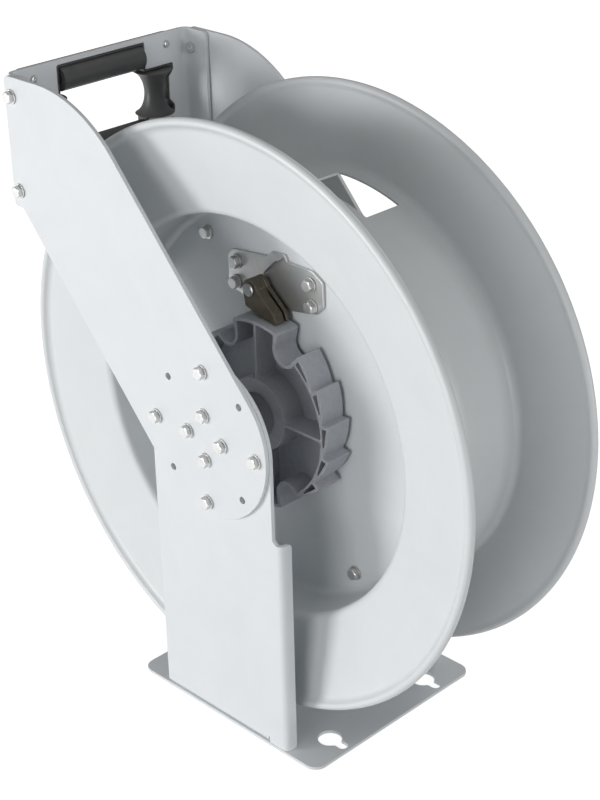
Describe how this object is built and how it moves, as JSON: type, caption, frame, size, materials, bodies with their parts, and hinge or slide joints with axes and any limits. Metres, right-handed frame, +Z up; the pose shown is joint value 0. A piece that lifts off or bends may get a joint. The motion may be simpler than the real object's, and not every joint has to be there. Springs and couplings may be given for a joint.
{
  "type": "fire hose reel",
  "caption": "Spring-rewind fire hose reel: open flanged drum on a two-leg pedestal with leaning arms and a four-roller hose guide.",
  "frame": {"origin": "on the underside of the base plate, straight below the drum axis and halfway between the two legs", "axes": "+Z up; the drum axis runs along Y, with the ratchet side at -Y and the water inlet at +Y; the hose guide is on the -X side"},
  "size_m": [0.54, 0.2728, 0.5655],
  "materials": {
    "frame_paint": "satin light-grey powder coat",
    "drum_paint": "satin light-grey powder coat",
    "black_plastic": "moulded, fine matt grain",
    "grey_plastic": "moulded glass-filled nylon, fine matt grain",
    "bright_steel": "machined and drawn steel",
    "bronze": "sintered oil-filled bronze",
    "brass": "machined brass",
    "seal_rubber": "soft black seal rubber",
    "pawl_cast": "cast and yellow-passivated",
    "zinc_plate": "bright zinc plate"
  },
  "bodies": {
    "frame": {"base_plate": "frame_paint", "near_leg": "frame_paint", "far_leg": "frame_paint", "near_arm": "frame_paint", "far_arm": "frame_paint", "guide_plate": "frame_paint", "roller_carrier": "black_plastic", "ratchet_wheel": "grey_plastic", "top_roller_axle": "bright_steel", "bottom_roller_axle": "bright_steel", "near_roller_axle": "bright_steel", "far_roller_axle": "bright_steel", "main_shaft": "bright_steel", "ratchet_spacer": "bright_steel", "spring_arbor": "bright_steel", "far_hub_plate": "bright_steel", "inlet_union": "brass", "shaft_nut": "zinc_plate", "near_hub_screw_top": "zinc_plate", "near_hub_screw_front": "zinc_plate", "near_hub_screw_bottom": "zinc_plate", "near_hub_screw_rear": "zinc_plate", "far_hub_screw_top": "zinc_plate", "far_hub_screw_front": "zinc_plate", "far_hub_screw_bottom": "zinc_plate", "far_hub_screw_rear": "zinc_plate", "shaft_screw_top": "zinc_plate", "shaft_screw_front": "zinc_plate", "shaft_screw_bottom": "zinc_plate", "shaft_screw_rear": "zinc_plate", "near_guide_screw_upper": "zinc_plate", "near_guide_screw_lower": "zinc_plate", "far_guide_screw_upper": "zinc_plate", "far_guide_screw_lower": "zinc_plate"},
    "drum": {"near_shell": "drum_paint", "far_shell": "drum_paint", "drum_hub": "zinc_plate", "near_bush": "bronze", "spring_case": "zinc_plate", "mainspring": "bright_steel", "spring_cover": "zinc_plate", "far_bush": "bronze", "swivel_body": "brass", "swivel_seal_near": "seal_rubber", "swivel_seal_far": "seal_rubber", "outlet_elbow": "brass", "pawl_plate": "zinc_plate", "pawl_pin": "bright_steel", "pawl_spring": "bright_steel", "web_screw_front": "zinc_plate", "web_screw_rear": "zinc_plate", "pawl_plate_screw_1": "zinc_plate", "pawl_plate_screw_2": "zinc_plate", "pawl_plate_screw_3": "zinc_plate", "pawl_plate_screw_4": "zinc_plate"},
    "pawl": {"pawl": "pawl_cast"},
    "top_roller": {"top_roller": "black_plastic"},
    "bottom_roller": {"bottom_roller": "black_plastic"},
    "near_roller": {"near_roller": "black_plastic"},
    "far_roller": {"far_roller": "black_plastic"}
  },
  "joints": [
    {"name": "drum_spin", "type": "hinge", "parent": "frame", "child": "drum", "pos_m": [0, 0, 0.294], "axis": [0, 1, 0], "continuous": true, "deforming": ["mainspring"]},
    {"name": "pawl_swing", "type": "hinge", "parent": "drum", "child": "pawl", "pos_m": [-0.013, -0.0323, 0.406], "axis": [0, 1, 0], "range_deg": [-25, 0], "stiffness_Nm_per_rad": 0.05, "springref_deg": 28.65, "deforming": ["pawl_spring"]},
    {"name": "top_roller_spin", "type": "hinge", "parent": "frame", "child": "top_roller", "pos_m": [-0.249, 0, 0.547], "axis": [0, 1, 0], "continuous": true},
    {"name": "bottom_roller_spin", "type": "hinge", "parent": "frame", "child": "bottom_roller", "pos_m": [-0.249, 0, 0.475], "axis": [0, 1, 0], "continuous": true},
    {"name": "near_roller_spin", "type": "hinge", "parent": "frame", "child": "near_roller", "pos_m": [-0.249, -0.063, 0.511], "axis": [0, 0, 1], "continuous": true},
    {"name": "far_roller_spin", "type": "hinge", "parent": "frame", "child": "far_roller", "pos_m": [-0.249, 0.063, 0.511], "axis": [0, 0, 1], "continuous": true}
  ]
}
